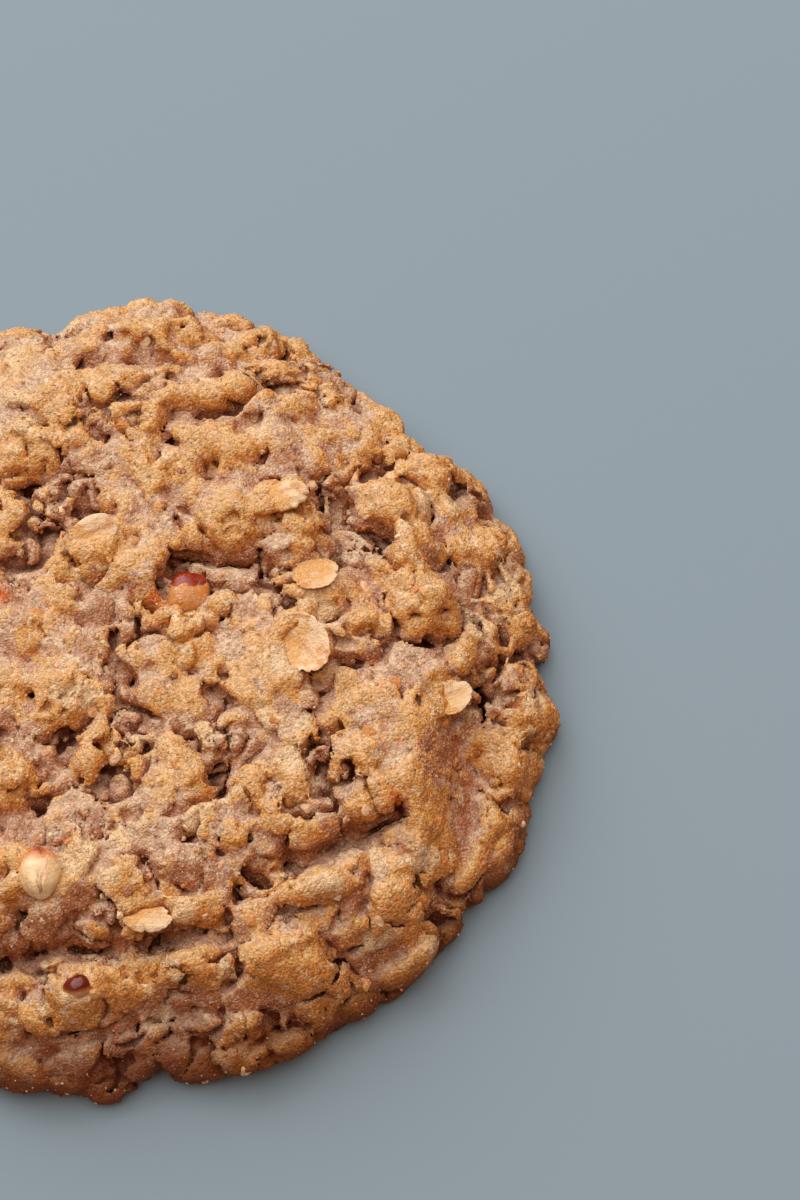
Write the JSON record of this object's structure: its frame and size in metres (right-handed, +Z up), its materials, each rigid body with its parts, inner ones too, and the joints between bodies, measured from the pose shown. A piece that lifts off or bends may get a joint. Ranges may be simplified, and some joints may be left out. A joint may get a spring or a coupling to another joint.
{
  "type": "banana oatmeal cookie",
  "caption": "Large round oatmeal cookie with a lumpy, cracked golden-brown top, rolled oat flakes and broken nuts, and a flat base to rest on.",
  "frame": {"origin": "middle of the flat base, on the surface that the cookie rests on", "axes": "+Z up through the cookie's thickness; +X and +Y lie in the base plane"},
  "size_m": [0.1024, 0.1044, 0.0192],
  "materials": {
    "dough": "baked dough, dry and sandy, golden on the lumps and greyer brown between them",
    "oat": "rolled oat flake, pale and faintly waxy, toasted at the rim",
    "nut": "blanched nut with scraps of red-brown skin, satin"
  },
  "bodies": {
    "root": {"dough": "dough", "oat_flake_round": "oat", "oat_flake_large": "oat", "oat_flake_white": "oat", "oat_flake_pale": "oat", "oat_flake_front": "oat", "oat_flake_side": "oat", "nut_skinned": "nut", "nut_half": "nut", "nut_chip": "nut"}
  },
  "joints": []
}
